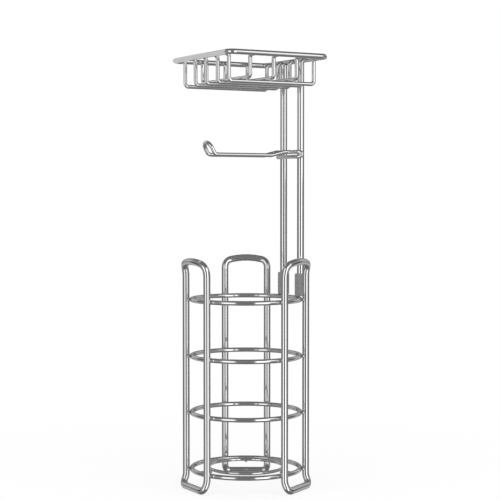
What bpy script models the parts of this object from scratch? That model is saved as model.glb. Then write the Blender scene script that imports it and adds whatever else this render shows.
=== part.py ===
"""Free-standing tissue stand in chromed steel.

A round reserve cage stands on three hairpin legs. Two poles rise from the back of its top ring to a
wire tray, and a doubled wire arm reaches forward from the poles to carry the roll in use.

Metres, +Z up. The cage axis is vertical, the arm points to -Y and the poles stand on the +Y side.
"""
import math

import bmesh
import bpy
from mathutils import Matrix, Vector

# Clearance
JOINT_GAP = 0.0003          # left between two pieces that touch

# Cage rings
RING_WIRE = 0.0070          # wire diameter
RING_RADIUS = 0.0829        # axis to the middle of the wire
RING_COUNT = 4
LOWEST_RING_HEIGHT = 0.0272
RING_PITCH = 0.0864

# Hairpin legs
LEG_COUNT = 3
LEG_TUBE = 0.0105           # tube diameter
LEG_SPREAD = 0.0668         # between the middles of a leg's two straights
LEG_HEIGHT = 0.3513         # floor to the top of the arch
ARCH_SIDE_BEND = 0.0130     # bend radius at the arch's two sides; its top is much flatter
ARCH_SLOPE = math.radians(14.4)  # how steeply the arch climbs from its sides to its middle
ARCH_STRAIGHT = 0.0005      # straight piece left between the arch's bends
LEG_FOOT_BEND = 0.0090      # bend radius at the floor
ARCH_LEAN_LENGTH = 0.0245   # length of the top that is bent outwards, measured along the tube
ARCH_LEAN_ANGLE = math.radians(34.7)
FOOT_LEAN_HEIGHT = 0.0175   # the foot leans out from here down, measured from the foot bar's middle
FOOT_LEAN_LENGTH = 0.0090   # length of that bend; below it the tube is straight
FOOT_LEAN_ANGLE = math.radians(26)

# Cage floor
FLOOR_WIRE = 0.0050
FLOOR_RING_RADIUS = 0.0575
FLOOR_LIFT = 0.0021         # above the middle of the lowest ring
SPOKE_DROP = 0.0025         # a spoke's middle below the floor ring's middle
SPOKE_COUNT = 3

# Poles, their spigots and sleeves
POLE_TUBE = 0.0108
POLE_WALL = 0.0010
POLE_SPACING = 0.0500
POLE_OUTSET = 0.0033        # outwards from the middle of the top ring's wire
SPIGOT_LENGTH = 0.0600      # of a cage spigot, inside its pole
SLEEVE_DIAMETER = 0.0178
SLEEVE_LENGTH = 0.0345
SLEEVE_EDGE = 0.0020        # rounding of the sleeve's upper edge

# Roll arm
ARM_WIRE = 0.0060
ARM_HEIGHT = 0.5079         # floor to halfway between the two cross wires
ARM_DIP = 0.0017            # the straights lie this much lower
ARM_SPREAD = 0.0216         # between the arm's two straights
ARM_REACH = 0.1415          # poles' plane to the foot of the turned-up tip
ARM_TIP_LENGTH = 0.0203     # along the slope, to the end of the loop
ARM_TIP_ANGLE = math.radians(62)
ARM_TIP_BEND = 0.0080
ARM_ROOT_BEND = 0.0070      # where a straight turns outwards to its pole
ARM_ROOT_RISE = 0.0350      # length over which the straights climb to the upper cross wire
CROSS_DROP = 0.0073         # upper to lower cross wire
ARM_WRAP_ANGLE = math.radians(45)   # how far the cross wires go round the poles

# Tray rim
STAND_HEIGHT = 0.6562       # floor to the top of the rim
RIM_WIRE = 0.0080
RIM_WIDTH = 0.1800          # across the arm, middle to middle
RIM_DEPTH = 0.1660          # along the arm, middle to middle
RIM_CORNER = 0.0100
RIM_OVER_POLE = 0.0055      # rear bar behind the poles' middles

# Tray basket
BASKET_WIRE = 0.0060
BASKET_DROP = 0.0403        # rim to the long wires' floor runs
BASKET_LENGTH = 0.1460      # front to rear drops of the long wires
SIDE_OVERHANG = 0.0210      # rim outside the outermost long wire
WIRE_BESIDE_POLE = 0.0015   # free space between a long wire and a tray stub
CROSS_WIRE_COUNT = 3
CROSS_WIRE_PITCH = 0.0400
CROSS_WIRE_STEP_OUT = 0.0045    # cross wire's drop outside the outermost long wire
BASKET_BEND = 0.0055
LIP_DROP = 0.0010           # rim's middle to the middle of a wire's lip
STUB_SPIGOT_LENGTH = 0.0250

# Facets
TUBE_SIDES = 12
WIRE_SIDES = 8
RING_STEPS = 44
TURNED_STEPS = 24
BEND_STEP = math.radians(18)    # turn between two sections of a bend, about
LEAN_STEP = 0.0045              # largest rise between two sections where a leg is bent out
MERGE_DISTANCE = 1e-6

# Places that follow from the sizes
leg_straight_radius = RING_RADIUS + RING_WIRE / 2 + JOINT_GAP + LEG_TUBE / 2
leg_plane_distance = math.sqrt(leg_straight_radius ** 2 - (LEG_SPREAD / 2) ** 2)
top_ring_height = LOWEST_RING_HEIGHT + (RING_COUNT - 1) * RING_PITCH
floor_wire_height = LOWEST_RING_HEIGHT + FLOOR_LIFT
pole_x = POLE_SPACING / 2
pole_y = math.sqrt((RING_RADIUS + POLE_OUTSET) ** 2 - pole_x ** 2)
pole_foot = top_ring_height + RING_WIRE / 2 + JOINT_GAP
rim_height = STAND_HEIGHT - RIM_WIRE / 2
long_wire_height = rim_height - BASKET_DROP
cross_wire_height = long_wire_height + BASKET_WIRE + JOINT_GAP
lip_height = rim_height - LIP_DROP
lip_shortfall = RIM_WIRE / 2 + JOINT_GAP    # a lip ends beside the rim, not in its middle
tray_y = pole_y + RIM_OVER_POLE - RIM_DEPTH / 2
outer_wire_x = RIM_WIDTH / 2 - SIDE_OVERHANG
inner_wire_x = pole_x + POLE_TUBE / 2 + BASKET_WIRE / 2 + WIRE_BESIDE_POLE
pole_head = long_wire_height
pole_bore = POLE_TUBE - 2 * POLE_WALL
spigot_diameter = pole_bore - 2 * JOINT_GAP


def clear_scene():
    for thing in list(bpy.data.objects):
        bpy.data.objects.remove(thing, do_unlink=True)


def make_material(name, colour, metallic, roughness):
    material = bpy.data.materials.new(name)
    material.use_nodes = True
    shader = material.node_tree.nodes["Principled BSDF"]
    shader.inputs["Base Color"].default_value = (*colour, 1.0)
    shader.inputs["Metallic"].default_value = metallic
    shader.inputs["Roughness"].default_value = roughness
    return material


def chrome(name):
    return make_material(name + "_chrome", (0.78, 0.78, 0.80), 1.0, 0.12)


def grey_plastic(name):
    return make_material(name + "_plastic", (0.22, 0.22, 0.22), 0.0, 0.55)


def add_piece(name, mesh_builder, material, parent, sharp_angle=math.radians(50)):
    """Turn a bmesh into a named, smooth shaded object under the assembly's empty."""
    bmesh.ops.recalc_face_normals(mesh_builder, faces=mesh_builder.faces)
    mesh = bpy.data.meshes.new(name)
    mesh_builder.to_mesh(mesh)
    mesh_builder.free()
    mesh.shade_smooth()
    mesh.set_sharp_from_angle(angle=sharp_angle)
    mesh.materials.append(material)
    piece = bpy.data.objects.new(name, mesh)
    piece.parent = parent
    bpy.context.collection.objects.link(piece)
    return piece


def path_directions(points, closed):
    """Direction of travel at each point: the mean of the runs that meet there."""
    count = len(points)
    directions = []
    for index, point in enumerate(points):
        run_in = (point - points[index - 1]).normalized() if closed or index else Vector()
        following = points[(index + 1) % count]
        run_out = (following - point).normalized() if closed or index < count - 1 else Vector()
        directions.append((run_in + run_out).normalized())
    return directions


def sweep(points, diameter, sides, up, closed=False):
    """A bar along a path. One of its flats faces the up direction, which may be a function."""
    builder = bmesh.new()
    corner_radius = diameter / 2 / math.cos(math.pi / sides)
    sections = []
    for point, along in zip(points, path_directions(points, closed)):
        up_here = up(point) if callable(up) else up
        normal = (up_here - along * up_here.dot(along)).normalized()
        across = along.cross(normal)
        section = []
        for side in range(sides):
            angle = 2 * math.pi * (side + 0.5) / sides
            offset = math.cos(angle) * normal + math.sin(angle) * across
            section.append(builder.verts.new(point + corner_radius * offset))
        sections.append(section)
    pairs = list(zip(sections, sections[1:]))
    if closed:
        pairs.append((sections[-1], sections[0]))
    for first, second in pairs:
        for side in range(sides):
            after = (side + 1) % sides
            builder.faces.new((first[side], first[after], second[after], second[side]))
    if not closed:
        builder.faces.new(sections[0])
        builder.faces.new(sections[-1])
    return builder


def turned(profile, centre, steps=TURNED_STEPS):
    """A closed profile of (radius, height) points spun round a vertical line."""
    builder = bmesh.new()
    corners = [builder.verts.new((radius, 0, height)) for radius, height in profile]
    outline = [builder.edges.new((a, b)) for a, b in zip(corners, corners[1:] + corners[:1])]
    bmesh.ops.spin(builder, geom=corners + outline, cent=(0, 0, 0), axis=(0, 0, 1),
                   angle=2 * math.pi, steps=steps, use_merge=True)
    bmesh.ops.remove_doubles(builder, verts=builder.verts, dist=MERGE_DISTANCE)
    bmesh.ops.translate(builder, verts=builder.verts, vec=centre)
    return builder


def arc_steps(angle):
    return max(2, round(angle / BEND_STEP))


def rounded_path(corners, radii, closed=False):
    """Straight runs joined by round bends; a radius of zero keeps the corner as a plain point."""
    count = len(corners)
    points = []
    for index, corner in enumerate(corners):
        radius = radii[index]
        if radius == 0 or (not closed and index in (0, count - 1)):
            points.append(corner.copy())
            continue
        run_in = (corner - corners[index - 1]).normalized()
        run_out = (corners[(index + 1) % count] - corner).normalized()
        turn = run_in.angle(run_out)
        setback = radius * math.tan(turn / 2)
        start = corner - run_in * setback
        inwards = (run_out - run_in * run_out.dot(run_in)).normalized()
        steps = arc_steps(turn)
        for step in range(steps + 1):
            angle = turn * step / steps
            points.append(start + radius * (math.sin(angle) * run_in
                                            + (1 - math.cos(angle)) * inwards))
    return points


def leaned_out(rise, bend_length, angle):
    """Where a point comes to lie, as (outwards, along the old line), when the line is bent out."""
    radius = bend_length / angle
    turn = min(rise, bend_length) / radius
    beyond = max(rise - bend_length, 0)
    return (radius * (1 - math.cos(turn)) + beyond * math.sin(angle),
            radius * math.sin(turn) + beyond * math.cos(angle))


def evenly_between(low, high):
    """Heights from low to high, close enough together for a bent line."""
    steps = max(1, math.ceil((high - low) / LEAN_STEP))
    return [low + (high - low) * step / steps for step in range(steps + 1)]


def leg_path():
    """One leg's closed loop, as (along the leg's plane, out of it, height)."""
    half = LEG_SPREAD / 2
    foot_radius = FOOT_LEAN_LENGTH / FOOT_LEAN_ANGLE
    foot_straight = ((FOOT_LEAN_HEIGHT - foot_radius * math.sin(FOOT_LEAN_ANGLE))
                     / math.cos(FOOT_LEAN_ANGLE))
    foot_line = LEG_TUBE / 2 + FOOT_LEAN_HEIGHT
    arch_radius = ARCH_LEAN_LENGTH / ARCH_LEAN_ANGLE
    arch_line = LEG_HEIGHT - LEG_TUBE / 2 - arch_radius * math.sin(ARCH_LEAN_ANGLE)

    # The loop is drawn flat first, and its two ends are then bent outwards
    foot = foot_line - FOOT_LEAN_LENGTH - foot_straight
    head = arch_line + ARCH_LEAN_LENGTH
    side_setback = ARCH_SIDE_BEND * math.tan((math.pi / 2 - ARCH_SLOPE) / 2)
    top_setback = half / math.cos(ARCH_SLOPE) - side_setback - ARCH_STRAIGHT
    top_radius = top_setback / math.tan(ARCH_SLOPE)
    peak = head + top_radius * (1 / math.cos(ARCH_SLOPE) - 1)
    shoulder = peak - half * math.tan(ARCH_SLOPE)
    corners = [Vector((-half, 0, foot)), Vector((half, 0, foot)),
               Vector((half, 0, shoulder)), Vector((0, 0, peak)), Vector((-half, 0, shoulder))]
    radii = [LEG_FOOT_BEND, LEG_FOOT_BEND, ARCH_SIDE_BEND, top_radius, ARCH_SIDE_BEND]
    loop = rounded_path(corners, radii, closed=True)
    between = evenly_between(foot_line - FOOT_LEAN_LENGTH, foot_line)
    between += evenly_between(arch_line, shoulder - side_setback)[:-1]
    flat = []
    for index, point in enumerate(loop):
        flat.append(point)
        following = loop[(index + 1) % len(loop)]
        if following.z - point.z > LEG_HEIGHT / 2:
            flat += [Vector((half, 0, height)) for height in between]
        if point.z - following.z > LEG_HEIGHT / 2:
            flat += [Vector((-half, 0, height)) for height in reversed(between)]
    for point in flat:
        if point.z > arch_line:
            outwards, rise = leaned_out(point.z - arch_line, ARCH_LEAN_LENGTH, ARCH_LEAN_ANGLE)
            point.y, point.z = outwards, arch_line + rise
        elif point.z < foot_line:
            outwards, drop = leaned_out(foot_line - point.z, FOOT_LEAN_LENGTH, FOOT_LEAN_ANGLE)
            point.y, point.z = outwards, foot_line - drop
    return flat


def leg_points(turn):
    """The leg's loop in the cage's frame, turned round the axis from the front."""
    outwards = Vector((math.sin(turn), -math.cos(turn), 0))
    sideways = Vector((math.cos(turn), math.sin(turn), 0))
    points = []
    for point in leg_path():
        place = outwards * (leg_plane_distance + point.y) + sideways * point.x
        place.z = point.z
        points.append(place)
    return points, outwards


def build_legs(parent):
    for index, name in enumerate(("leg_front", "leg_right", "leg_left")):
        turn = 2 * math.pi * index / LEG_COUNT
        points, outwards = leg_points(turn)
        builder = sweep(points, LEG_TUBE, TUBE_SIDES, outwards, closed=True)
        add_piece(name, builder, chrome(name), parent)


def circle_points(radius, height, steps):
    return [Vector((radius * math.cos(2 * math.pi * step / steps),
                    radius * math.sin(2 * math.pi * step / steps), height))
            for step in range(steps)]


def build_rings(parent):
    names = ("lowest_ring", "lower_ring", "upper_ring", "top_ring")
    for index, name in enumerate(names[:RING_COUNT]):
        points = circle_points(RING_RADIUS, LOWEST_RING_HEIGHT + index * RING_PITCH, RING_STEPS)
        builder = sweep(points, RING_WIRE, WIRE_SIDES, Vector((0, 0, 1)), closed=True)
        add_piece(name, builder, chrome(name), parent)


def build_cage_floor(parent):
    points = circle_points(FLOOR_RING_RADIUS, floor_wire_height, RING_STEPS)
    builder = sweep(points, FLOOR_WIRE, WIRE_SIDES, Vector((0, 0, 1)), closed=True)
    add_piece("floor_ring", builder, chrome("floor_ring"), parent)
    inner = FLOOR_RING_RADIUS + FLOOR_WIRE / 2 + JOINT_GAP
    outer = RING_RADIUS - RING_WIRE / 2 - JOINT_GAP
    for index, name in enumerate(("floor_spoke_front", "floor_spoke_right", "floor_spoke_left")):
        turn = 2 * math.pi * index / SPOKE_COUNT
        outwards = Vector((math.sin(turn), -math.cos(turn), 0))
        lift = Vector((0, 0, floor_wire_height - SPOKE_DROP))
        spoke = sweep([outwards * inner + lift, outwards * outer + lift],
                      FLOOR_WIRE, WIRE_SIDES, Vector((0, 0, 1)))
        add_piece(name, spoke, chrome(name), parent)


def build_pole_set(side_name, side, parent):
    """One pole with the spigot and the sleeve that hold its foot."""
    centre = Vector((side * pole_x, pole_y, 0))
    spigot = [(0, pole_foot), (spigot_diameter / 2, pole_foot),
              (spigot_diameter / 2, pole_foot + SPIGOT_LENGTH), (0, pole_foot + SPIGOT_LENGTH)]
    name = "cage_spigot_" + side_name
    add_piece(name, turned(spigot, centre), chrome(name), parent)

    pole = [(pole_bore / 2, pole_foot), (POLE_TUBE / 2, pole_foot),
            (POLE_TUBE / 2, pole_head), (pole_bore / 2, pole_head)]
    name = "pole_" + side_name
    add_piece(name, turned(pole, centre), chrome(name), parent)

    bore = POLE_TUBE / 2 + JOINT_GAP
    outside = SLEEVE_DIAMETER / 2
    head = pole_foot + SLEEVE_LENGTH
    sleeve = [(bore, pole_foot), (outside, pole_foot)]
    edge_steps = arc_steps(math.pi / 2)
    for step in range(edge_steps + 1):
        angle = math.pi / 2 * step / edge_steps
        sleeve.append((outside - SLEEVE_EDGE * (1 - math.cos(angle)),
                       head - SLEEVE_EDGE * (1 - math.sin(angle))))
    sleeve.append((bore, head))
    name = "pole_sleeve_" + side_name
    add_piece(name, turned(sleeve, centre), grey_plastic(name), parent)


def arm_half_path():
    """The arm's right half, from the middle of the tip loop to the middle of the lower cross wire."""
    half = ARM_SPREAD / 2
    tip_y = pole_y - ARM_REACH
    slope = Vector((0, -math.cos(ARM_TIP_ANGLE), math.sin(ARM_TIP_ANGLE)))
    straight_height = ARM_HEIGHT - ARM_DIP
    tip_foot = Vector((0, tip_y, straight_height))
    cross_y = pole_y - POLE_TUBE / 2 - JOINT_GAP - ARM_WIRE / 2
    upper = ARM_HEIGHT + CROSS_DROP / 2
    lower = ARM_HEIGHT - CROSS_DROP / 2
    side = Vector((half, 0, 0))

    points = []
    loop_centre = tip_foot + slope * (ARM_TIP_LENGTH - half)
    tip_steps = arc_steps(math.pi / 2)
    for step in range(tip_steps + 1):
        angle = math.pi / 2 * step / tip_steps
        points.append(loop_centre + half * (math.sin(angle) * Vector((1, 0, 0))
                                            + math.cos(angle) * slope))
    straight = [points[-1], tip_foot + side,
                Vector((half, cross_y - ARM_ROOT_RISE, straight_height)),
                Vector((half, cross_y - ARM_ROOT_BEND - ARM_WIRE, upper)),
                Vector((half, cross_y, upper)),
                Vector((pole_x, cross_y, upper))]
    radii = [0, ARM_TIP_BEND, 0, 0, ARM_ROOT_BEND, 0]
    points += rounded_path(straight, radii)[1:]

    # The cross wires follow the pole's side, and turn back in a small upright loop
    wrap_radius = pole_y - cross_y
    wrap_steps = arc_steps(ARM_WRAP_ANGLE)
    wrap = []
    for step in range(wrap_steps + 1):
        angle = ARM_WRAP_ANGLE * step / wrap_steps
        wrap.append(Vector((pole_x + wrap_radius * math.sin(angle),
                            pole_y - wrap_radius * math.cos(angle), 0)))
    points += [place + Vector((0, 0, upper)) for place in wrap[1:]]
    onwards = Vector((math.cos(ARM_WRAP_ANGLE), math.sin(ARM_WRAP_ANGLE), 0))
    turn_steps = arc_steps(math.pi)
    turn_radius = CROSS_DROP / 2
    for step in range(1, turn_steps):
        angle = math.pi * step / turn_steps
        points.append(wrap[-1] + Vector((0, 0, ARM_HEIGHT))
                      + turn_radius * (math.sin(angle) * onwards
                                       + math.cos(angle) * Vector((0, 0, 1))))
    points += [place + Vector((0, 0, lower)) for place in reversed(wrap)]
    points.append(Vector((0, cross_y, lower)))
    return points


def build_arm(parent):
    right = arm_half_path()
    left = [Vector((-point.x, point.y, point.z)) for point in reversed(right[1:-1])]
    builder = sweep_without_twist(right + left, ARM_WIRE, WIRE_SIDES)
    add_piece("roll_arm", builder, chrome("roll_arm"), parent)


def sweep_without_twist(points, diameter, sides):
    """A closed bar whose section is carried along the path and eased back to its start."""
    directions = path_directions(points, True)
    normal = directions[0].orthogonal().normalized()
    normals = [normal]
    for before, after in zip(directions, directions[1:] + directions[:1]):
        normal = before.rotation_difference(after) @ normal
        normals.append((normal - after * normal.dot(after)).normalized())
    start, end = normals[0], normals.pop()
    leftover = math.atan2(directions[0].dot(end.cross(start)), end.dot(start))
    count = len(points)
    ups = {}
    for index, point in enumerate(points):
        ease = Matrix.Rotation(leftover * index / count, 3, directions[index])
        ups[tuple(point)] = ease @ normals[index]
    return sweep(points, diameter, sides, lambda point: ups[tuple(point)], closed=True)


def build_tray_rim(parent):
    x = RIM_WIDTH / 2
    y = RIM_DEPTH / 2
    centre = Vector((0, tray_y, rim_height))
    corners = [centre + Vector(place) for place in ((-x, -y, 0), (x, -y, 0), (x, y, 0), (-x, y, 0))]
    points = rounded_path(corners, [RIM_CORNER] * 4, closed=True)
    builder = sweep(points, RIM_WIRE, TUBE_SIDES, Vector((0, 0, 1)), closed=True)
    add_piece("tray_rim", builder, chrome("tray_rim"), parent)


def basket_wire(direction, across, drop_reach, lip_reach, floor_height):
    """A U of wire whose ends turn out to meet the rim's inner side."""
    side = direction * across
    heights = (lip_height, lip_height, floor_height, floor_height, lip_height, lip_height)
    reaches = (-lip_reach, -drop_reach, -drop_reach, drop_reach, drop_reach, lip_reach)
    along = Vector((direction.y, direction.x, 0))
    corners = []
    for reach, height in zip(reaches, heights):
        corners.append(Vector((0, tray_y, height)) + side + along * reach)
    points = rounded_path(corners, [BASKET_BEND] * 6)
    return sweep(points, BASKET_WIRE, WIRE_SIDES, direction)


def build_long_wires(parent):
    places = (("left_outer", -outer_wire_x), ("left_inner", -inner_wire_x), ("middle", 0),
              ("right_inner", inner_wire_x), ("right_outer", outer_wire_x))
    for place, across in places:
        name = "long_wire_" + place
        builder = basket_wire(Vector((1, 0, 0)), across, BASKET_LENGTH / 2,
                              RIM_DEPTH / 2 - lip_shortfall, long_wire_height)
        add_piece(name, builder, chrome(name), parent)


def build_cross_wires(parent):
    for index, place in enumerate(("front", "middle", "rear")[:CROSS_WIRE_COUNT]):
        name = "cross_wire_" + place
        across = (index - (CROSS_WIRE_COUNT - 1) / 2) * CROSS_WIRE_PITCH
        builder = basket_wire(Vector((0, 1, 0)), across, outer_wire_x + CROSS_WIRE_STEP_OUT,
                              RIM_WIDTH / 2 - lip_shortfall, cross_wire_height)
        add_piece(name, builder, chrome(name), parent)


def build_tray_stub(side_name, side, parent):
    """The short bar welded under the rim, with a spigot that enters the pole's open head."""
    shoulder = pole_head + JOINT_GAP
    head = rim_height - RIM_WIRE / 2 - JOINT_GAP
    foot = shoulder - STUB_SPIGOT_LENGTH
    profile = [(0, foot), (spigot_diameter / 2, foot), (spigot_diameter / 2, shoulder),
               (POLE_TUBE / 2, shoulder), (POLE_TUBE / 2, head), (0, head)]
    name = "tray_stub_" + side_name
    centre = Vector((side * pole_x, pole_y, 0))
    add_piece(name, turned(profile, centre), chrome(name), parent)


def stand_on_bottom_centre(assembly):
    """Move the assembly so that the middle of its lowest rectangle is the origin."""
    bpy.context.view_layer.update()
    corners = [piece.matrix_world @ vertex.co
               for piece in assembly.children for vertex in piece.data.vertices]
    low = [min(corner[axis] for corner in corners) for axis in range(3)]
    high = [max(corner[axis] for corner in corners) for axis in range(3)]
    assembly.location = (-(low[0] + high[0]) / 2, -(low[1] + high[1]) / 2, -low[2])
    bpy.context.view_layer.update()


def main():
    clear_scene()
    assembly = bpy.data.objects.new("tissue_stand", None)
    bpy.context.collection.objects.link(assembly)
    build_legs(assembly)
    build_rings(assembly)
    build_cage_floor(assembly)
    for side_name, side in (("left", -1), ("right", 1)):
        build_pole_set(side_name, side, assembly)
        build_tray_stub(side_name, side, assembly)
    build_arm(assembly)
    build_tray_rim(assembly)
    build_long_wires(assembly)
    build_cross_wires(assembly)
    stand_on_bottom_centre(assembly)


main()
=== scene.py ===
"""Looks of a chromed tissue stand, laid out as an add-on: one operator for each piece or group of pieces."""
import math

import bpy
from bpy.props import FloatProperty, FloatVectorProperty, PointerProperty
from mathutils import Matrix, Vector


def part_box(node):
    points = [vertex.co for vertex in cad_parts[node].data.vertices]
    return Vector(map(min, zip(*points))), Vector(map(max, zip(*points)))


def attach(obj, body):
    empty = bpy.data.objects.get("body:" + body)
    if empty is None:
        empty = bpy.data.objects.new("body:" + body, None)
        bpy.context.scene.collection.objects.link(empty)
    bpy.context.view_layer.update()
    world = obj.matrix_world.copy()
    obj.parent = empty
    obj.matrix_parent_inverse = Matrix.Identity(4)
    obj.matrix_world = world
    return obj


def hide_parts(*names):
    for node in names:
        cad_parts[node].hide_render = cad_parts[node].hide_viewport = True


bl_info = {
    "name": "Tissue stand",
    "version": (1, 0, 0),
    "blender": (4, 5, 0),
    "location": "3D View > Sidebar > Stand",
    "description": "Builds the polished pieces of a free-standing tissue stand and its studio",
    "category": "Object",
}

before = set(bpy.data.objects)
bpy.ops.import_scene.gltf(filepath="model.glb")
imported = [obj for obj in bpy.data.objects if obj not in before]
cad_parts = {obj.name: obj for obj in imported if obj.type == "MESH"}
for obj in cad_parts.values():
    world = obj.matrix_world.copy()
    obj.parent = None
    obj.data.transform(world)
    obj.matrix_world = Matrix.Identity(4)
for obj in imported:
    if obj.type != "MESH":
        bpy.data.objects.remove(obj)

ALONG_X = Vector((1, 0, 0))
ALONG_Y = Vector((0, 1, 0))
UPWARDS = Vector((0, 0, 1))

# Fineness of the meshes
TUBE_SIDES = 32
WIRE_SIDES = 24
RING_SECTIONS = 160
LATHE_SECTIONS = 48
CORNER_STEPS = 5
BEND_STEP = math.radians(6)
FEWEST_BEND_STEPS = 3
SMOOTH_ANGLE = math.radians(40)
WELD_DISTANCE = 0.00001

# Broken edges, in metres
CUT_EDGE = 0.0003       # on a cut tube or spoke
LIP_EDGE = 0.0004       # on a basket wire's ends
SLEEVE_EDGE = 0.0006    # on a sleeve's mouth and foot

# Where a leg's straights are cut, so that they can bend there
FOOT_CUTS = (1, 0.75, 0.5, 0.25, 0)     # below the foot's bend line, as shares of that bend's length
ARCH_CUTS = (0, 0.33, 0.67)             # above the arch's bend line, as shares of the way to its side bends

# A front piece's copies round the cage, and how far each is turned
ROUND_THE_CAGE = (("right", math.radians(120)), ("left", math.radians(240)))

# The floor is all white from far off, and shows some of the stand's shadow near it
FLOOR_SIZE = 16
SHADOW_NEAR = 0.15      # metres from the middle of the floor
SHADOW_FAR = 0.80
WHITE_NEAR = 0.85       # share of plain white near the stand
SURROUND_STRENGTH = 0.55

# Painted reflections for the polished metal: a glowing dome, seen only in reflections, with a painted room,
# painted dark flags and painted soft-box highlights, none of them lamps. Heights run from 0, straight down,
# to 1, straight up, with 0.5 level.
# Bearings are in degrees from the camera's, anticlockwise from above. The painted room and flags are given by
# their brightness, and a share says how much of the painted flags or of the painted highlights shows there.
PAINTED_DOME_RADIUS = 5
PAINTED_ROOM_BY_HEIGHT = ((0.15, 0.16), (0.225, 0.30), (0.775, 0.30), (0.85, 0.16))
PAINTED_FLAGS_BY_BEARING = ((-180, 0.35), (-160, 0.08), (-98, 0.05), (-84, 0.32), (-58, 0.40), (-22, 0.40),
                    (-15, 0.08), (13, 0.06), (20, 0.40), (56, 0.36), (86, 0.30), (98, 0.05), (160, 0.08),
                    (180, 0.35))
PAINTED_FLAG_SHARE_BY_HEIGHT = ((0.37, 0), (0.44, 1), (0.56, 1), (0.63, 0))
PAINTED_HIGHLIGHT_SHARE_BY_BEARING = ((-148, 0), (-142, 0.16), (-122, 0.16), (-116, 0), (-53, 0), (-47, 0.7),
                        (-25, 0.7), (-19, 0), (17, 0), (23, 1), (46, 1), (53, 0), (116, 0), (122, 0.16),
                        (142, 0.16), (148, 0))
PAINTED_HIGHLIGHT_SHARE_BY_HEIGHT = ((0.18, 0), (0.28, 1), (0.72, 1), (0.82, 0))
PAINTED_HIGHLIGHT_BRIGHTNESS = 1.7


def node_middle(name):
    low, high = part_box(name)
    return (low + high) / 2


AXIS_Y = node_middle("top_ring").y

# Glowing pale cards that only the metal sees, painted highlights and no lamps: name, middle, the way it
# faces, width, height and brightness
PAINTED_HIGHLIGHT_CARDS = (
    ("white_card_left", Vector((-0.125, -0.145, 0.652)), Vector((1, 0, 0)), 0.20, 0.28, 0.66),
    ("white_card_right", Vector((0.87, 0.50 + AXIS_Y, 0.86)), Vector((-0.87, -0.50, 0)), 0.36, 0.76, 1.25),
)

# Lamps: name, metres from the cage axis towards the camera and to its right, height, size, share of the power
SOFT_LAMPS = (
    ("lamp_right", 1.3, 1.2, 1.5, 1.2, 1.0),
    ("lamp_left", 1.3, -1.2, 1.3, 1.2, 0.7),
    ("lamp_above", 0, 0, 2.4, 1.8, 1.0),
)
LAMP_AIM_HEIGHT = 0.33


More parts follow.
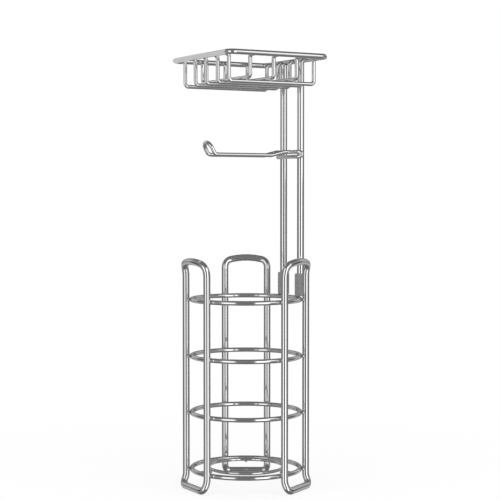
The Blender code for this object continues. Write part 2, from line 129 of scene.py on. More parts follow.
class StandSizes(bpy.types.PropertyGroup):
    """Sizes of the tubes, wires and bends."""
    leg_tube: FloatProperty(name="Leg tube", description="Outside diameter of the legs' tube",
                            default=0.0105, unit='LENGTH')
    leg_spread: FloatProperty(name="Leg spread", description="Between the middles of a leg's straights",
                              default=0.0668, unit='LENGTH')
    leg_height: FloatProperty(name="Leg height", description="Floor to the top of a leg's arch",
                              default=0.3513, unit='LENGTH')
    leg_foot_bend: FloatProperty(name="Foot bend", description="Bend radius at a leg's foot",
                                 default=0.0090, unit='LENGTH')
    arch_side_bend: FloatProperty(name="Arch side bend", description="Bend radius at the arch's two sides",
                                  default=0.0130, unit='LENGTH')
    arch_slope: FloatProperty(name="Arch slope", description="How steeply the arch climbs to its middle",
                              default=math.radians(14.4), unit='ROTATION')
    arch_straight: FloatProperty(name="Arch straight", description="Straight piece between the arch's bends",
                                 default=0.0005, unit='LENGTH')
    arch_lean_length: FloatProperty(name="Arch lean length", description="Length bent outwards at the top",
                                    default=0.0245, unit='LENGTH')
    arch_lean_angle: FloatProperty(name="Arch lean", description="How far the arch is bent outwards",
                                   default=math.radians(34.7), unit='ROTATION')
    foot_lean_height: FloatProperty(name="Foot lean height", description="Where the foot starts to lean out",
                                    default=0.0175, unit='LENGTH')
    foot_lean_length: FloatProperty(name="Foot lean length", description="Length of the bend above a foot",
                                    default=0.0090, unit='LENGTH')
    foot_lean_angle: FloatProperty(name="Foot lean", description="How far a foot is bent outwards",
                                   default=math.radians(26), unit='ROTATION')
    ring_wire: FloatProperty(name="Ring wire", description="Diameter of the cage rings' wire",
                             default=0.0070, unit='LENGTH')
    floor_wire: FloatProperty(name="Floor wire", description="Diameter of the cage floor's wire",
                              default=0.0050, unit='LENGTH')
    pole_tube: FloatProperty(name="Pole tube", description="Outside diameter of the poles",
                             default=0.0108, unit='LENGTH')
    pole_wall: FloatProperty(name="Pole wall", description="Thickness of the poles' wall",
                             default=0.0010, unit='LENGTH')
    sleeve_rounding: FloatProperty(name="Sleeve rounding", description="Rounding of a sleeve's upper edge",
                                   default=0.0020, unit='LENGTH')
    arm_wire: FloatProperty(name="Arm wire", description="Diameter of the roll arm's wire",
                            default=0.0060, unit='LENGTH')
    arm_spread: FloatProperty(name="Arm spread", description="Between the middles of the arm's straights",
                              default=0.0216, unit='LENGTH')
    arm_height: FloatProperty(name="Arm height", description="Floor to halfway between the two cross wires",
                              default=0.5079, unit='LENGTH')
    arm_dip: FloatProperty(name="Arm dip", description="How much lower the arm's straights lie",
                           default=0.0017, unit='LENGTH')
    arm_reach: FloatProperty(name="Arm reach", description="Poles' plane to the foot of the arm's tip",
                             default=0.1415, unit='LENGTH')
    arm_tip_length: FloatProperty(name="Arm tip length", description="Length of the turned-up tip",
                                  default=0.0203, unit='LENGTH')
    arm_tip_angle: FloatProperty(name="Arm tip angle", description="How far the tip is turned up",
                                 default=math.radians(62), unit='ROTATION')
    arm_tip_bend: FloatProperty(name="Arm tip bend", description="Bend radius below the tip",
                                default=0.0080, unit='LENGTH')
    arm_root_bend: FloatProperty(name="Arm root bend", description="Bend radius beside a pole",
                                 default=0.0070, unit='LENGTH')
    arm_root_rise: FloatProperty(name="Arm root rise", description="Length over which the straights climb",
                                 default=0.0350, unit='LENGTH')
    cross_drop: FloatProperty(name="Cross wire drop", description="Upper to lower cross wire of the arm",
                              default=0.0073, unit='LENGTH')
    arm_wrap_angle: FloatProperty(name="Arm wrap", description="How far the arm goes round a pole",
                                  default=math.radians(45), unit='ROTATION')
    joint_gap: FloatProperty(name="Joint gap", description="Left between two pieces that touch",
                             default=0.0003, unit='LENGTH')
    rim_wire: FloatProperty(name="Rim wire", description="Diameter of the tray rim's wire",
                            default=0.0080, unit='LENGTH')
    rim_corner: FloatProperty(name="Rim corner", description="Bend radius of the rim's corners",
                              default=0.0100, unit='LENGTH')
    basket_wire: FloatProperty(name="Basket wire", description="Diameter of the basket's wires",
                               default=0.0060, unit='LENGTH')
    basket_bend: FloatProperty(name="Basket bend", description="Bend radius of the basket's wires",
                               default=0.0055, unit='LENGTH')
    long_wire_reach: FloatProperty(name="Long wire reach", description="Middle of a long wire to its drops",
                                   default=0.0730, unit='LENGTH')
    cross_wire_reach: FloatProperty(name="Cross wire reach",
                                    description="Middle of a cross wire to its drops",
                                    default=0.0735, unit='LENGTH')


class StandFinish(bpy.types.PropertyGroup):
    """Colours and gloss of the finishes."""
    chrome_colour: FloatVectorProperty(name="Chrome", description="Colour of the chrome plate",
                                       default=(0.80, 0.80, 0.81), subtype='COLOR', min=0, max=1)
    chrome_roughness: FloatProperty(name="Chrome roughness", description="Mean roughness of the chrome plate",
                                    default=0.09, subtype='FACTOR', min=0, max=1)
    sleeve_colour: FloatVectorProperty(name="Sleeve", description="Colour of the poles' plastic sleeves",
                                       default=(0.25, 0.25, 0.25), subtype='COLOR', min=0, max=1)
    floor_colour: FloatVectorProperty(name="Floor", description="Colour of the studio floor",
                                      default=(0.90, 0.90, 0.90), subtype='COLOR', min=0, max=1)


class StandStudio(bpy.types.PropertyGroup):
    """Place of the camera and strength of the light."""
    camera_turn: FloatProperty(name="Camera turn", description="From ahead of the arm towards its left side",
                               default=math.radians(60), unit='ROTATION')
    camera_distance: FloatProperty(name="Camera distance", description="Level distance from the cage axis",
                                   default=2.161, unit='LENGTH')
    camera_height: FloatProperty(name="Camera height", description="Height of the camera above the floor",
                                 default=0.4481, unit='LENGTH')
    camera_pitch: FloatProperty(name="Camera pitch", description="How far the camera looks down",
                                default=math.radians(2.292), unit='ROTATION')
    camera_sideways: FloatProperty(name="Camera sideways", description="Shift of the camera to its right",
                                   default=0.0062, unit='LENGTH')
    camera_lens: FloatProperty(name="Lens", description="Focal length in millimetres on the sensor",
                               default=102.03)
    camera_sensor: FloatProperty(name="Sensor", description="Width of the camera's sensor in millimetres",
                                 default=36.0)
    lamp_power: FloatProperty(name="Lamp power", description="Power of the main lamp in watts", default=16.0)


# Materials

def new_material(name):
    material = bpy.data.materials.new(name)
    material.use_nodes = True
    return material, material.node_tree


def math_node(tree, operation, first, second):
    node = tree.nodes.new("ShaderNodeMath")
    node.operation = operation
    tree.links.new(first, node.inputs[0])
    tree.links.new(second, node.inputs[1])
    return node.outputs["Value"]


def map_range(tree, value, old_range, new_range):
    """Bring a value from one range to another."""
    node = tree.nodes.new("ShaderNodeMapRange")
    node.inputs["From Min"].default_value, node.inputs["From Max"].default_value = old_range
    node.inputs["To Min"].default_value, node.inputs["To Max"].default_value = new_range
    tree.links.new(value, node.inputs["Value"])
    return node.outputs["Result"]


def object_noise(tree, scale, detail):
    """A noise that stays on the object, with about as many patches to a metre as the scale says."""
    place = tree.nodes.new("ShaderNodeTexCoord")
    noise = tree.nodes.new("ShaderNodeTexNoise")
    noise.inputs["Scale"].default_value = scale
    noise.inputs["Detail"].default_value = detail
    tree.links.new(place.outputs["Object"], noise.inputs["Vector"])
    return noise.outputs["Fac"]


def vary_colour(tree, noise, colour, darker, lighter):
    """Let a noise choose between two shades of a colour, each given as (noise value, share of the colour)."""
    ramp = tree.nodes.new("ShaderNodeValToRGB")
    for element, (position, share) in zip(ramp.color_ramp.elements, (darker, lighter)):
        element.position = position
        element.color = (*(Vector(colour) * share), 1)
    tree.links.new(noise, ramp.inputs["Fac"])
    tree.links.new(ramp.outputs["Color"], tree.nodes["Principled BSDF"].inputs["Base Color"])


def vary_gloss(tree, noise, lowest, highest):
    """Let a noise set the roughness between two values."""
    tree.links.new(map_range(tree, noise, (0, 1), (lowest, highest)),
                   tree.nodes["Principled BSDF"].inputs["Roughness"])


def vary_surface(tree, noise, strength, depth):
    """Let a noise raise the surface by a depth in metres."""
    bump = tree.nodes.new("ShaderNodeBump")
    bump.inputs["Strength"].default_value = strength
    bump.inputs["Distance"].default_value = depth
    tree.links.new(noise, bump.inputs["Height"])
    tree.links.new(bump.outputs["Normal"], tree.nodes["Principled BSDF"].inputs["Normal"])


def chrome_plate():
    """Bright chrome on steel: faint smears in the gloss and a slight unevenness under the plate."""
    name = "chrome_plate"
    if name in bpy.data.materials:
        return bpy.data.materials[name]
    finish = bpy.context.scene.stand_finish
    material, tree = new_material(name)
    tree.nodes["Principled BSDF"].inputs["Metallic"].default_value = 1.0
    tint = object_noise(tree, scale=35.0, detail=3.0)
    vary_colour(tree, tint, finish.chrome_colour, darker=(0.35, 0.965), lighter=(0.65, 1.0))
    smears = object_noise(tree, scale=60.0, detail=4.0)
    vary_gloss(tree, smears, lowest=finish.chrome_roughness * 0.8, highest=finish.chrome_roughness * 1.2)
    waves = object_noise(tree, scale=30.0, detail=0.0)
    vary_surface(tree, waves, strength=0.015, depth=0.0005)
    return material


def sleeve_plastic():
    """Matte grey moulded plastic with a fine spark-eroded grain."""
    name = "sleeve_plastic"
    if name in bpy.data.materials:
        return bpy.data.materials[name]
    finish = bpy.context.scene.stand_finish
    material, tree = new_material(name)
    tree.nodes["Principled BSDF"].inputs["Specular IOR Level"].default_value = 0.3
    patches = object_noise(tree, scale=400.0, detail=3.0)
    vary_colour(tree, patches, finish.sleeve_colour, darker=(0.3, 0.93), lighter=(0.7, 1.05))
    grain = object_noise(tree, scale=2600.0, detail=2.0)
    vary_gloss(tree, grain, lowest=0.5, highest=0.68)
    vary_surface(tree, grain, strength=0.25, depth=0.0001)
    return material


# Modelling steps

def select_only(piece):
    bpy.ops.object.select_all(action='DESELECT')
    piece.select_set(True)
    bpy.context.view_layer.objects.active = piece


def named_piece(name):
    """The object that was added last, with its mesh, under a new name."""
    piece = bpy.context.object
    piece.name = name
    piece.data.name = name
    return piece


def start_section(name, diameter, sides, place, along):
    """A round section at the start of a bar, open in its middle, and the edit mode to draw it out."""
    turn = along.to_track_quat('Z', 'Y').to_euler()
    bpy.ops.mesh.primitive_circle_add(vertices=sides, radius=diameter / 2, fill_type='NOTHING',
                                      location=place, rotation=turn)
    piece = named_piece(name)
    bpy.ops.object.transform_apply(location=True, rotation=True, scale=True)
    bpy.ops.object.mode_set(mode='EDIT')
    bpy.ops.mesh.select_mode(type='VERT')
    bpy.ops.mesh.select_all(action='SELECT')
    return piece


def draw_out(vector):
    bpy.ops.mesh.extrude_region_move(TRANSFORM_OT_translate={"value": vector})


def draw_round(angle, centre, axis):
    """Turn the selected section about an axis by the right-hand rule, leaving a bend behind it."""
    steps = max(FEWEST_BEND_STEPS, round(abs(angle) / BEND_STEP))
    bpy.ops.mesh.spin(steps=steps, angle=-angle, center=centre, axis=axis,
                      dupli=False, use_auto_merge=False, use_normal_flip=False)


def draw_bar(corners, radii):
    """Draw the section from corner to corner, with a round bend at each corner that has a radius."""
    here = corners[0]
    for index in range(1, len(corners)):
        corner = corners[index]
        run_in = (corner - corners[index - 1]).normalized()
        radius = radii[index] if index < len(corners) - 1 else 0
        if radius == 0:
            draw_out(corner - here)
            here = corner
            continue
        run_out = (corners[index + 1] - corner).normalized()
        turn = run_in.angle(run_out)
        setback = radius * math.tan(turn / 2)
        tangent_point = corner - run_in * setback
        if (tangent_point - here).length > WELD_DISTANCE:
            draw_out(tangent_point - here)
        inwards = (run_out - run_in * run_out.dot(run_in)).normalized()
        centre = tangent_point + inwards * radius
        draw_round(turn, centre, run_in.cross(run_out).normalized())
        here = corner + run_out * setback


def spin_round(steps, centre):
    """Spin what is selected once round an upright line."""
    bpy.ops.mesh.spin(steps=steps, angle=2 * math.pi, center=centre, axis=UPWARDS,
                      dupli=False, use_auto_merge=True, use_normal_flip=False)


def weld_all():
    bpy.ops.mesh.select_all(action='SELECT')
    bpy.ops.mesh.remove_doubles(threshold=WELD_DISTANCE)


def enclosed_volume(mesh):
    """Volume inside a closed mesh, below zero if its faces point inwards."""
    mesh.calc_loop_triangles()
    volume = 0
    for triangle in mesh.loop_triangles:
        first, second, third = (mesh.vertices[index].co for index in triangle.vertices)
        volume += first.dot(second.cross(third)) / 6
    return volume


def finish_piece(piece):
    """Turn all faces outwards, leave edit mode and shade the piece smooth."""
    bpy.ops.mesh.select_all(action='SELECT')
    bpy.ops.mesh.normals_make_consistent(inside=False)
    piece.update_from_editmode()
    if enclosed_volume(piece.data) < 0:
        bpy.ops.mesh.flip_normals()
    bpy.ops.object.mode_set(mode='OBJECT')
    bpy.ops.object.shade_smooth_by_angle(angle=SMOOTH_ANGLE)


def close_loop(piece):
    """Weld the last section on to the first one."""
    weld_all()
    finish_piece(piece)


def cap_ends(piece, chamfer):
    """Close both ends of a bar and break their edges."""
    weld_all()
    bpy.ops.mesh.select_mode(type='EDGE')
    bpy.ops.mesh.select_all(action='DESELECT')
    bpy.ops.mesh.select_non_manifold()
    bpy.ops.mesh.edge_face_add()
    bpy.ops.mesh.select_all(action='DESELECT')
    bpy.ops.mesh.select_mode(type='FACE')
    bpy.ops.mesh.select_face_by_sides(number=4, type='GREATER')
    bpy.ops.mesh.bevel(offset=chamfer, segments=2, affect='EDGES')
    finish_piece(piece)


def settle(piece, material, slot, *nodes):
    """Give a finished piece its material and its place in the model."""
    piece.data.materials.clear()
    piece.data.materials.append(material)
    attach(piece, "root")
    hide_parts(*nodes)


def copy_of(piece, name):
    """A copy with its own mesh, all of it selected in edit mode."""
    select_only(piece)
    bpy.ops.object.duplicate()
    copy = named_piece(name)
    bpy.ops.object.mode_set(mode='EDIT')
    bpy.ops.mesh.select_all(action='SELECT')
    return copy


def settle_round_cage(piece, material, slot, prefix, node_prefix):
    """Settle a front piece and its copies, which are turned round the cage axis."""
    for side, angle in ROUND_THE_CAGE:
        copy = copy_of(piece, prefix + side)
        bpy.ops.transform.rotate(value=-angle, orient_axis='Z', orient_type='GLOBAL',
                                 center_override=(0, AXIS_Y, 0))
        bpy.ops.object.mode_set(mode='OBJECT')
        settle(copy, material, slot, node_prefix + side)
    settle(piece, material, slot, node_prefix + "front")


def settle_row(piece, material, slot, node, other_nodes):
    """Settle a piece, and a copy of it at each other node, given as {name of the copy: node}."""
    for name, other_node in other_nodes.items():
        copy = copy_of(piece, name)
        bpy.ops.transform.translate(value=node_middle(other_node) - node_middle(node))
        bpy.ops.object.mode_set(mode='OBJECT')
        settle(copy, material, slot, other_node)
    settle(piece, material, slot, node)


def bend_out(piece, line, direction, angle, length):
    """Bend what lies beyond a level line outwards, to -Y, over the given length.

    The direction is 1 for what lies above the line, and -1 for what lies below it."""
    tilt = 0 if direction > 0 else math.pi
    bpy.ops.object.empty_add(location=line, rotation=(0, tilt, 0))
    helper = bpy.context.object
    bpy.context.view_layer.update()
    select_only(piece)
    heights = [(vertex.co.z - line.z) * direction for vertex in piece.data.vertices]
    low, high = min(heights), max(heights)
    bpy.ops.object.modifier_add(type='SIMPLE_DEFORM')
    bend = piece.modifiers[-1]
    bend.deform_method = 'BEND'
    bend.deform_axis = 'X'
    bend.origin = helper
    bend.angle = -angle
    bend.limits = (-low / (high - low), (length - low) / (high - low))
    bpy.ops.object.modifier_apply(modifier=bend.name)
    bpy.data.objects.remove(helper)


class STAND_OT_legs(bpy.types.Operator):
    """Build the three hairpin legs"""
    bl_idname = "stand.legs"
    bl_label = "Legs"

    def execute(self, context):
        sizes = context.scene.stand_sizes
        tube = sizes.leg_tube
        half = sizes.leg_spread / 2
        plane_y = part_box("leg_front")[1].y - tube / 2

        foot_radius = sizes.foot_lean_length / sizes.foot_lean_angle
        foot_straight = ((sizes.foot_lean_height - foot_radius * math.sin(sizes.foot_lean_angle))
                         / math.cos(sizes.foot_lean_angle))
        foot_line = tube / 2 + sizes.foot_lean_height
        foot = foot_line - sizes.foot_lean_length - foot_straight

        # The arch before it leans out: two side bends and a flatter top bend between them
        arch_radius = sizes.arch_lean_length / sizes.arch_lean_angle
        arch_line = sizes.leg_height - tube / 2 - arch_radius * math.sin(sizes.arch_lean_angle)
        head = arch_line + sizes.arch_lean_length
        slope = sizes.arch_slope
        side_setback = sizes.arch_side_bend * math.tan((math.pi / 2 - slope) / 2)
        top_setback = half / math.cos(slope) - side_setback - sizes.arch_straight
        top_radius = top_setback / math.tan(slope)
        peak = head + top_radius * (1 / math.cos(slope) - 1)
        shoulder = peak - half * math.tan(slope)
        arch_rise = shoulder - side_setback - arch_line

        cuts = [foot_line - sizes.foot_lean_length * share for share in FOOT_CUTS]
        cuts += [arch_line + arch_rise * share for share in ARCH_CUTS]
        corners = [(0, foot), (half, foot)] + [(half, height) for height in cuts]
        corners += [(half, shoulder), (0, peak), (-half, shoulder)]
        corners += [(-half, height) for height in reversed(cuts)] + [(-half, foot), (0, foot)]
        corners = [Vector((x, plane_y, z)) for x, z in corners]
        radii = ([0, sizes.leg_foot_bend] + [0] * len(cuts)
                 + [sizes.arch_side_bend, top_radius, sizes.arch_side_bend]
                 + [0] * len(cuts) + [sizes.leg_foot_bend, 0])
        leg = start_section("chrome_leg_front", tube, TUBE_SIDES, corners[0], ALONG_X)
        draw_bar(corners, radii)
        close_loop(leg)
        bend_out(leg, Vector((0, plane_y, arch_line)), 1, sizes.arch_lean_angle, sizes.arch_lean_length)
        bend_out(leg, Vector((0, plane_y, foot_line)), -1, sizes.foot_lean_angle, sizes.foot_lean_length)
        settle_round_cage(leg, chrome_plate(), "chrome", "chrome_leg_", "leg_")
        return {'FINISHED'}


def wire_ring(name, node, wire):
    """A level ring of round wire where the frame has it."""
    low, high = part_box(node)
    middle = node_middle(node)
    radius = (high.x - low.x) / 2 - wire / 2
    ring = start_section(name, wire, WIRE_SIDES, middle + ALONG_X * radius, ALONG_Y)
    spin_round(RING_SECTIONS, middle)
    close_loop(ring)
    return ring


class STAND_OT_cage_rings(bpy.types.Operator):
    """Build the cage's four rings"""
    bl_idname = "stand.cage_rings"
    bl_label = "Cage rings"

    def execute(self, context):
        ring = wire_ring("chrome_lowest_ring", "lowest_ring", context.scene.stand_sizes.ring_wire)
        settle_row(ring, chrome_plate(), "chrome", "lowest_ring",
                   {"chrome_" + node: node for node in ("lower_ring", "upper_ring", "top_ring")})
        return {'FINISHED'}


class STAND_OT_cage_floor(bpy.types.Operator):
    """Build the cage floor: a small ring and three spokes"""
    bl_idname = "stand.cage_floor"
    bl_label = "Cage floor"

    def execute(self, context):
        wire = context.scene.stand_sizes.floor_wire
        chrome = chrome_plate()
        ring = wire_ring("chrome_floor_ring", "floor_ring", wire)
        settle(ring, chrome, "chrome", "floor_ring")
        low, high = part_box("floor_spoke_front")
        middle = node_middle("floor_spoke_front")
        start = Vector((middle.x, low.y, middle.z))
        spoke = start_section("chrome_floor_spoke_front", wire, WIRE_SIDES, start, ALONG_Y)
        draw_out(ALONG_Y * (high.y - low.y))
        cap_ends(spoke, CUT_EDGE)
        settle_round_cage(spoke, chrome, "chrome", "chrome_floor_spoke_", "floor_spoke_")
        return {'FINISHED'}


def lathe(name, profile, centre):
    """Spin an outline of (radius, height) points round an upright line.

    An outline that doesn't start and end on the line is closed first."""
    bpy.ops.mesh.primitive_plane_add(size=1, location=(0, 0, 0))
    piece = named_piece(name)
    bpy.ops.object.mode_set(mode='EDIT')
    bpy.ops.mesh.select_mode(type='VERT')
    bpy.ops.mesh.select_all(action='SELECT')
    bpy.ops.mesh.merge(type='CENTER')
    radius, height = profile[0]
    bpy.ops.transform.translate(value=(centre.x + radius, centre.y, height))
    on_line = profile[0][0] == 0 and profile[-1][0] == 0
    stops = profile if on_line else profile + profile[:1]
    for before, after in zip(stops, stops[1:]):
        draw_out(Vector((after[0] - before[0], 0, after[1] - before[1])))
    weld_all()
    spin_round(LATHE_SECTIONS, centre)
    close_loop(piece)
    return piece


def rounded_corner(outside, top, radius):
    """Points of a quarter round at an outline's upper outer corner."""
    points = []
    for step in range(CORNER_STEPS + 1):
        angle = math.pi / 2 * step / CORNER_STEPS
        points.append((outside - radius * (1 - math.cos(angle)), top - radius * (1 - math.sin(angle))))
    return points


class STAND_OT_poles(bpy.types.Operator):
    """Build the poles with their sleeves and the stubs under the tray"""
    bl_idname = "stand.poles"
    bl_label = "Poles and sleeves"

    def execute(self, context):
        sizes = context.scene.stand_sizes
        chrome = chrome_plate()
        centre = node_middle("pole_left")
        outside = sizes.pole_tube / 2
        inside = outside - sizes.pole_wall

        pole_low, pole_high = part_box("pole_left")
        pole = lathe("chrome_pole_left", [
            (inside, pole_low.z), (outside, pole_low.z), (outside, pole_high.z - CUT_EDGE),
            (outside - CUT_EDGE, pole_high.z), (inside, pole_high.z)], centre)

        low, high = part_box("pole_sleeve_left")
        bore = outside + sizes.joint_gap
        sleeve_outside = (high.x - low.x) / 2
        sleeve = lathe("grey_sleeve_left", [
            (bore, low.z), (sleeve_outside - SLEEVE_EDGE, low.z), (sleeve_outside, low.z + SLEEVE_EDGE),
            *rounded_corner(sleeve_outside, high.z, sizes.sleeve_rounding),
            (bore + SLEEVE_EDGE, high.z), (bore, high.z - SLEEVE_EDGE)], centre)

        low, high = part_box("tray_stub_left")
        shoulder = pole_high.z + sizes.joint_gap
        spigot = inside - sizes.joint_gap
        stub = lathe("chrome_tray_stub_left", [
            (0, low.z), (spigot, low.z), (spigot, shoulder), (outside - CUT_EDGE, shoulder),
            (outside, shoulder + CUT_EDGE), (outside, high.z), (0, high.z)], centre)

        settle_row(pole, chrome, "chrome", "pole_left", {"chrome_pole_right": "pole_right"})
        settle_row(sleeve, sleeve_plastic(), "grey_plastic", "pole_sleeve_left",
                   {"grey_sleeve_right": "pole_sleeve_right"})
        settle_row(stub, chrome, "chrome", "tray_stub_left", {"chrome_tray_stub_right": "tray_stub_right"})
        for side in ("left", "right"):
            spigot_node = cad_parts["cage_spigot_" + side]
            spigot_node.data.materials.clear()
            spigot_node.data.materials.append(chrome)
        return {'FINISHED'}


class STAND_OT_roll_arm(bpy.types.Operator):
    """Build the roll arm, one closed loop of wire"""
    bl_idname = "stand.roll_arm"
    bl_label = "Roll arm"

    def execute(self, context):
        sizes = context.scene.stand_sizes
        pole = node_middle("pole_right")
        half = sizes.arm_spread / 2
        wire = sizes.arm_wire
        wrap = sizes.arm_wrap_angle
        wrap_radius = sizes.pole_tube / 2 + sizes.joint_gap + wire / 2
        cross_y = pole.y - wrap_radius
        upper = sizes.arm_height + sizes.cross_drop / 2
        lower = sizes.arm_height - sizes.cross_drop / 2
        straight_height = sizes.arm_height - sizes.arm_dip
        tip_foot = Vector((0, pole.y - sizes.arm_reach, straight_height))
        tip_slope = Vector((0, -math.cos(sizes.arm_tip_angle), math.sin(sizes.arm_tip_angle)))
        tip_end = tip_foot + tip_slope * sizes.arm_tip_length
        tip_centre = tip_end - tip_slope * half

        # The right half, from the middle of the tip to the middle of the lower cross wire
        arm = start_section("chrome_roll_arm", wire, WIRE_SIDES, tip_end, ALONG_X)
        draw_round(math.pi / 2, tip_centre, tip_slope.cross(ALONG_X))
        draw_bar([tip_centre + ALONG_X * half, tip_foot + ALONG_X * half,
                  Vector((half, cross_y - sizes.arm_root_rise, straight_height)),
                  Vector((half, cross_y - sizes.arm_root_bend - wire, upper)),
                  Vector((half, cross_y, upper)), Vector((pole.x, cross_y, upper))],
                 [0, sizes.arm_tip_bend, 0, 0, sizes.arm_root_bend, 0])
        draw_round(wrap, Vector((pole.x, pole.y, upper)), UPWARDS)
        outwards = Vector((math.cos(wrap), math.sin(wrap), 0))
        from_pole = Vector((math.sin(wrap), -math.cos(wrap), 0)) * wrap_radius
        draw_round(math.pi, Vector((pole.x, pole.y, sizes.arm_height)) + from_pole, outwards.cross(-UPWARDS))
        draw_round(-wrap, Vector((pole.x, pole.y, lower)), UPWARDS)
        draw_out(ALONG_X * -pole.x)

        bpy.ops.object.mode_set(mode='OBJECT')
        bpy.ops.object.modifier_add(type='MIRROR')
        mirror = arm.modifiers[-1]
        mirror.merge_threshold = WELD_DISTANCE
        bpy.ops.object.modifier_apply(modifier=mirror.name)
        bpy.ops.object.mode_set(mode='EDIT')
        finish_piece(arm)
        settle(arm, chrome_plate(), "chrome", "roll_arm")
        return {'FINISHED'}


class STAND_OT_tray_rim(bpy.types.Operator):
    """Build the tray's rim"""
    bl_idname = "stand.tray_rim"
    bl_label = "Tray rim"

    def execute(self, context):
        sizes = context.scene.stand_sizes
        low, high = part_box("tray_rim")
        middle = node_middle("tray_rim")
        x = (high.x - low.x) / 2 - sizes.rim_wire / 2
        y = (high.y - low.y) / 2 - sizes.rim_wire / 2
        corners = [middle + Vector(place) for place in
                   ((0, -y, 0), (x, -y, 0), (x, y, 0), (-x, y, 0), (-x, -y, 0), (0, -y, 0))]
        rim = start_section("chrome_tray_rim", sizes.rim_wire, TUBE_SIDES, corners[0], ALONG_X)
        draw_bar(corners, [0] + [sizes.rim_corner] * 4 + [0])
        close_loop(rim)
        settle(rim, chrome_plate(), "chrome", "tray_rim")
        return {'FINISHED'}


class STAND_OT_basket_wires(bpy.types.Operator):
    """Build the basket's long wires and cross wires"""
    bl_idname = "stand.basket_wires"
    bl_label = "Basket wires"

    def execute(self, context):
        sizes = context.scene.stand_sizes
        self.build_row("long_wire_", ("left_outer", "left_inner", "middle", "right_inner", "right_outer"),
                       ALONG_Y, sizes.long_wire_reach, sizes)
        self.build_row("cross_wire_", ("front", "middle", "rear"), ALONG_X, sizes.cross_wire_reach, sizes)
        return {'FINISHED'}

    def build_row(self, kind, places, along, drop_reach, sizes):
        """Like wires side by side, each a U whose lips turn outwards below the rim."""
        first, *others = (kind + place for place in places)
        low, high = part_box(first)
        middle = node_middle(first)
        lip_reach = (high - low).dot(along) / 2
        lip_height = high.z - sizes.basket_wire / 2
        floor_height = low.z + sizes.basket_wire / 2
        stops = ((-lip_reach, lip_height), (-drop_reach, lip_height), (-drop_reach, floor_height),
                 (drop_reach, floor_height), (drop_reach, lip_height), (lip_reach, lip_height))
        corners = [Vector((middle.x, middle.y, height)) + along * reach for reach, height in stops]
        wire = start_section("chrome_" + first, sizes.basket_wire, WIRE_SIDES, corners[0], along)
        draw_bar(corners, [0] + [sizes.basket_bend] * 4 + [0])
        cap_ends(wire, LIP_EDGE)
        settle_row(wire, chrome_plate(), "chrome", first, {"chrome_" + node: node for node in others})


# Studio

def camera_directions(studio):
    """Level unit vectors from the cage axis to the camera, and to the camera's right."""
    turn = studio.camera_turn
    towards = Vector((math.sin(turn), -math.cos(turn), 0))
    right = Vector((math.cos(turn), math.sin(turn), 0))
    return towards, right


def studio_place(studio, ahead, sideways, height):
    """A point so far from the cage axis towards the camera, and to the camera's right."""
    towards, right = camera_directions(studio)
    return Vector((0, AXIS_Y, height)) + towards * ahead + right * sideways


def seen_share(tree):
    """1 for what is seen, straight on, mirrored or through something clear, and 0 for the light it gives."""
    rays = tree.nodes.new("ShaderNodeLightPath").outputs
    seen = math_node(tree, 'MAXIMUM', rays["Is Camera Ray"], rays["Is Glossy Ray"])
    return math_node(tree, 'MAXIMUM', seen, rays["Is Transmission Ray"])


def mix_shaders(tree, share, first, second, output):
    mix = tree.nodes.new("ShaderNodeMixShader")
    tree.links.new(share, mix.inputs["Fac"])
    tree.links.new(first, mix.inputs[1])
    tree.links.new(second, mix.inputs[2])
    tree.links.new(mix.outputs["Shader"], tree.nodes[output].inputs["Surface"])


def floor_surface():
    """A pale floor that is seen as white, but for a little of the stand's shadow near it."""
    finish = bpy.context.scene.stand_finish
    material, tree = new_material("studio_floor")
    shader = tree.nodes["Principled BSDF"]
    shader.inputs["Base Color"].default_value = (*finish.floor_colour, 1)
    shader.inputs["Roughness"].default_value = 0.9
    shader.inputs["Specular IOR Level"].default_value = 0.0
    white = tree.nodes.new("ShaderNodeEmission")
    place = tree.nodes.new("ShaderNodeTexCoord")
    distance = tree.nodes.new("ShaderNodeVectorMath")
    distance.operation = 'LENGTH'
    tree.links.new(place.outputs["Object"], distance.inputs[0])
    fade = map_range(tree, distance.outputs["Value"], (SHADOW_NEAR, SHADOW_FAR), (WHITE_NEAR, 1))
    share = math_node(tree, 'MULTIPLY', seen_share(tree), fade)
    mix_shaders(tree, share, shader.outputs["BSDF"], white.outputs["Emission"], "Material Output")
    return material


def light_world(scene):
    """A dim pale surround for the light, and a white one for what the eye and the metal see."""
    world = bpy.data.worlds.new("studio_world")
    world.use_nodes = True
    scene.world = world
    tree = world.node_tree
    dim = tree.nodes["Background"]
    white = tree.nodes.new("ShaderNodeBackground")
    for background, strength in ((dim, SURROUND_STRENGTH), (white, 1)):
        background.inputs["Color"].default_value = (1, 1, 1, 1)
        background.inputs["Strength"].default_value = strength
    mix_shaders(tree, seen_share(tree), dim.outputs["Background"], white.outputs["Background"],
                "World Output")


def glowing_material(name):
    """A material that only glows, for painted reflections and highlights, and that the light on the stand
    isn't drawn from.
    """
    material, tree = new_material(name)
    tree.nodes.remove(tree.nodes["Principled BSDF"])
    glow = tree.nodes.new("ShaderNodeEmission")
    tree.links.new(glow.outputs["Emission"], tree.nodes["Material Output"].inputs["Surface"])
    material.cycles.emission_sampling = 'NONE'
    return material, glow


def grey_ramp(tree, share, stops):
    """Brightness over a share from 0 to 1, given as (share, brightness) stops."""
    ramp = tree.nodes.new("ShaderNodeValToRGB")
    elements = ramp.color_ramp.elements
    ready = len(elements)
    for index, (position, brightness) in enumerate(stops):
        element = elements[index] if index < ready else elements.new(position)
        element.position = position
        element.color = (brightness, brightness, brightness, 1)
    tree.links.new(share, ramp.inputs["Fac"])
    return ramp.outputs["Color"]


def shares_of_round(stops):
    """Stops over the bearing in degrees, from -180 to 180, as stops over its share of the whole round."""
    return [(0.5 + angle / 360, brightness) for angle, brightness in stops]


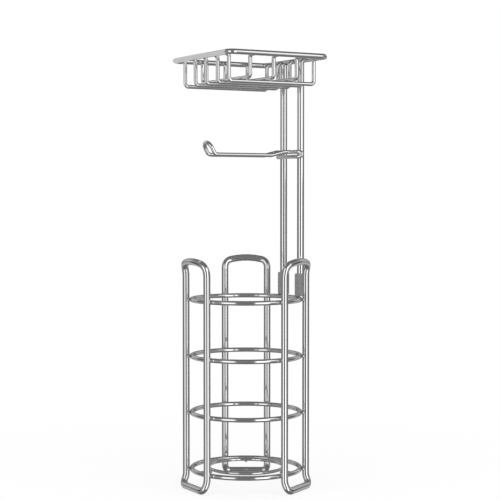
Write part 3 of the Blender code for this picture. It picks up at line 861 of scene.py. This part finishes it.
def studio_walls(studio):
    """Painted reflections for the polished metal: a glowing dome with a painted room, dark flags, and
    soft-box highlights, two in front and two behind.
    """
    material, glow = glowing_material("studio_walls")
    tree = material.node_tree
    nodes, links = tree.nodes, tree.links
    place = nodes.new("ShaderNodeTexCoord")
    turned = nodes.new("ShaderNodeMapping")
    turned.inputs["Rotation"].default_value = (0, 0, math.pi / 2 - studio.camera_turn)
    way = nodes.new("ShaderNodeVectorMath")
    way.operation = 'NORMALIZE'
    split = nodes.new("ShaderNodeSeparateXYZ")
    links.new(place.outputs["Object"], turned.inputs["Vector"])
    links.new(turned.outputs["Vector"], way.inputs[0])
    links.new(way.outputs["Vector"], split.inputs["Vector"])
    bearing = math_node(tree, 'ARCTAN2', split.outputs["Y"], split.outputs["X"])
    round_share = map_range(tree, bearing, (-math.pi, math.pi), (0, 1))
    height_share = map_range(tree, split.outputs["Z"], (-1, 1), (0, 1))

    # Painted dark flags over the painted room, seen only in reflections
    painted_flags = nodes.new("ShaderNodeMix")
    painted_flags.data_type = 'RGBA'
    links.new(grey_ramp(tree, height_share, PAINTED_FLAG_SHARE_BY_HEIGHT), painted_flags.inputs["Factor"])
    links.new(grey_ramp(tree, height_share, PAINTED_ROOM_BY_HEIGHT), painted_flags.inputs["A"])
    links.new(grey_ramp(tree, round_share, shares_of_round(PAINTED_FLAGS_BY_BEARING)), painted_flags.inputs["B"])
    # Painted soft-box highlights: bright bands that glow but are no lamps
    painted_highlight_share = math_node(tree, 'MULTIPLY',
                          grey_ramp(tree, round_share, shares_of_round(PAINTED_HIGHLIGHT_SHARE_BY_BEARING)),
                          grey_ramp(tree, height_share, PAINTED_HIGHLIGHT_SHARE_BY_HEIGHT))
    with_painted_highlights = nodes.new("ShaderNodeMix")
    with_painted_highlights.data_type = 'RGBA'
    with_painted_highlights.inputs["B"].default_value = (PAINTED_HIGHLIGHT_BRIGHTNESS, PAINTED_HIGHLIGHT_BRIGHTNESS, PAINTED_HIGHLIGHT_BRIGHTNESS, 1)
    links.new(painted_highlight_share, with_painted_highlights.inputs["Factor"])
    links.new(painted_flags.outputs["Result"], with_painted_highlights.inputs["A"])
    links.new(with_painted_highlights.outputs["Result"], glow.inputs["Color"])
    return material


def mirror_only(thing):
    """Let nothing but polished surfaces see a piece of the studio, so that it is only a painted reflection.
    """
    thing.visible_camera = False
    thing.visible_diffuse = False
    thing.visible_shadow = False
    thing.visible_transmission = False


def painted_highlight_card(name, place, facing, width, height, brightness):
    """A glowing upright card that only the chrome mirrors: a painted highlight, no lamp."""
    material, glow = glowing_material(name)
    glow.inputs["Strength"].default_value = brightness
    turn = facing.to_track_quat('Z', 'Y').to_euler()
    bpy.ops.mesh.primitive_plane_add(size=1, location=place, rotation=turn)
    card = bpy.context.object
    card.scale = (width, height, 1)
    card.name = name
    card.data.materials.append(material)
    mirror_only(card)


def soft_lamp(name, place, target, size, power):
    """A square lamp that lights the stand and isn't mirrored in it."""
    turn = (target - place).to_track_quat('-Z', 'Y').to_euler()
    bpy.ops.object.light_add(type='AREA', location=place, rotation=turn)
    lamp = bpy.context.object
    lamp.name = name
    lamp.data.shape = 'SQUARE'
    lamp.data.size = size
    lamp.data.energy = power
    lamp.visible_glossy = False


class STAND_OT_stage(bpy.types.Operator):
    """Set up the floor, the light and the camera"""
    bl_idname = "stand.stage"
    bl_label = "Studio"

    def execute(self, context):
        scene = context.scene
        studio = scene.stand_studio
        scene.view_settings.view_transform = 'Standard'

        bpy.ops.mesh.primitive_plane_add(size=FLOOR_SIZE, location=(0, 0, 0))
        floor = context.object
        floor.name = "studio_floor"
        floor.data.materials.append(floor_surface())
        # The metal mirrors the dome's painted dark lower part instead of the white floor
        floor.visible_glossy = False

        # A glowing dome that only the metal sees, painted with a room, dark flags and soft-box highlights; it
        # lights nothing
        bpy.ops.mesh.primitive_uv_sphere_add(segments=64, ring_count=32, radius=PAINTED_DOME_RADIUS,
                                             location=(0, 0, 0))
        painted_dome = context.object
        painted_dome.name = "studio_walls"
        painted_dome.data.materials.append(studio_walls(studio))
        mirror_only(painted_dome)

        # Glowing cards that put painted highlights on the chrome
        for name, place, facing, width, height, brightness in PAINTED_HIGHLIGHT_CARDS:
            painted_highlight_card(name, place, facing, width, height, brightness)
        light_world(scene)
        for name, ahead, sideways, height, size, share in SOFT_LAMPS:
            soft_lamp(name, studio_place(studio, ahead, sideways, height),
                      studio_place(studio, 0, 0, LAMP_AIM_HEIGHT), size, studio.lamp_power * share)

        towards = camera_directions(studio)[0]
        look = -towards * math.cos(studio.camera_pitch) - UPWARDS * math.sin(studio.camera_pitch)
        place = studio_place(studio, studio.camera_distance, studio.camera_sideways, studio.camera_height)
        bpy.ops.object.camera_add(location=place, rotation=look.to_track_quat('-Z', 'Y').to_euler())
        camera = context.object
        camera.name = "studio_camera"
        camera.data.lens = studio.camera_lens
        camera.data.sensor_width = studio.camera_sensor
        scene.camera = camera
        return {'FINISHED'}


class STAND_PT_panel(bpy.types.Panel):
    """Lists the pieces of the stand and their sizes"""
    bl_label = "Tissue stand"
    bl_idname = "STAND_PT_panel"
    bl_space_type = 'VIEW_3D'
    bl_region_type = 'UI'
    bl_category = "Stand"

    def draw(self, context):
        for operator in PIECE_OPERATORS:
            self.layout.operator(operator.bl_idname)
        for group in (context.scene.stand_sizes, context.scene.stand_finish, context.scene.stand_studio):
            box = self.layout.box()
            for name in group.__annotations__:
                box.prop(group, name)


PIECE_OPERATORS = (STAND_OT_legs, STAND_OT_cage_rings, STAND_OT_cage_floor, STAND_OT_poles, STAND_OT_roll_arm,
                   STAND_OT_tray_rim, STAND_OT_basket_wires, STAND_OT_stage)
CLASSES = (StandSizes, StandFinish, StandStudio, *PIECE_OPERATORS, STAND_PT_panel)


def register():
    for item in CLASSES:
        bpy.utils.register_class(item)
    bpy.types.Scene.stand_sizes = PointerProperty(type=StandSizes)
    bpy.types.Scene.stand_finish = PointerProperty(type=StandFinish)
    bpy.types.Scene.stand_studio = PointerProperty(type=StandStudio)


def unregister():
    del bpy.types.Scene.stand_studio
    del bpy.types.Scene.stand_finish
    del bpy.types.Scene.stand_sizes
    for item in reversed(CLASSES):
        bpy.utils.unregister_class(item)


def main():
    register()
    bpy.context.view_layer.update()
    bpy.ops.stand.legs()
    bpy.ops.stand.cage_rings()
    bpy.ops.stand.cage_floor()
    bpy.ops.stand.poles()
    bpy.ops.stand.roll_arm()
    bpy.ops.stand.tray_rim()
    bpy.ops.stand.basket_wires()
    bpy.ops.stand.stage()


if __name__ == "__main__":
    main()
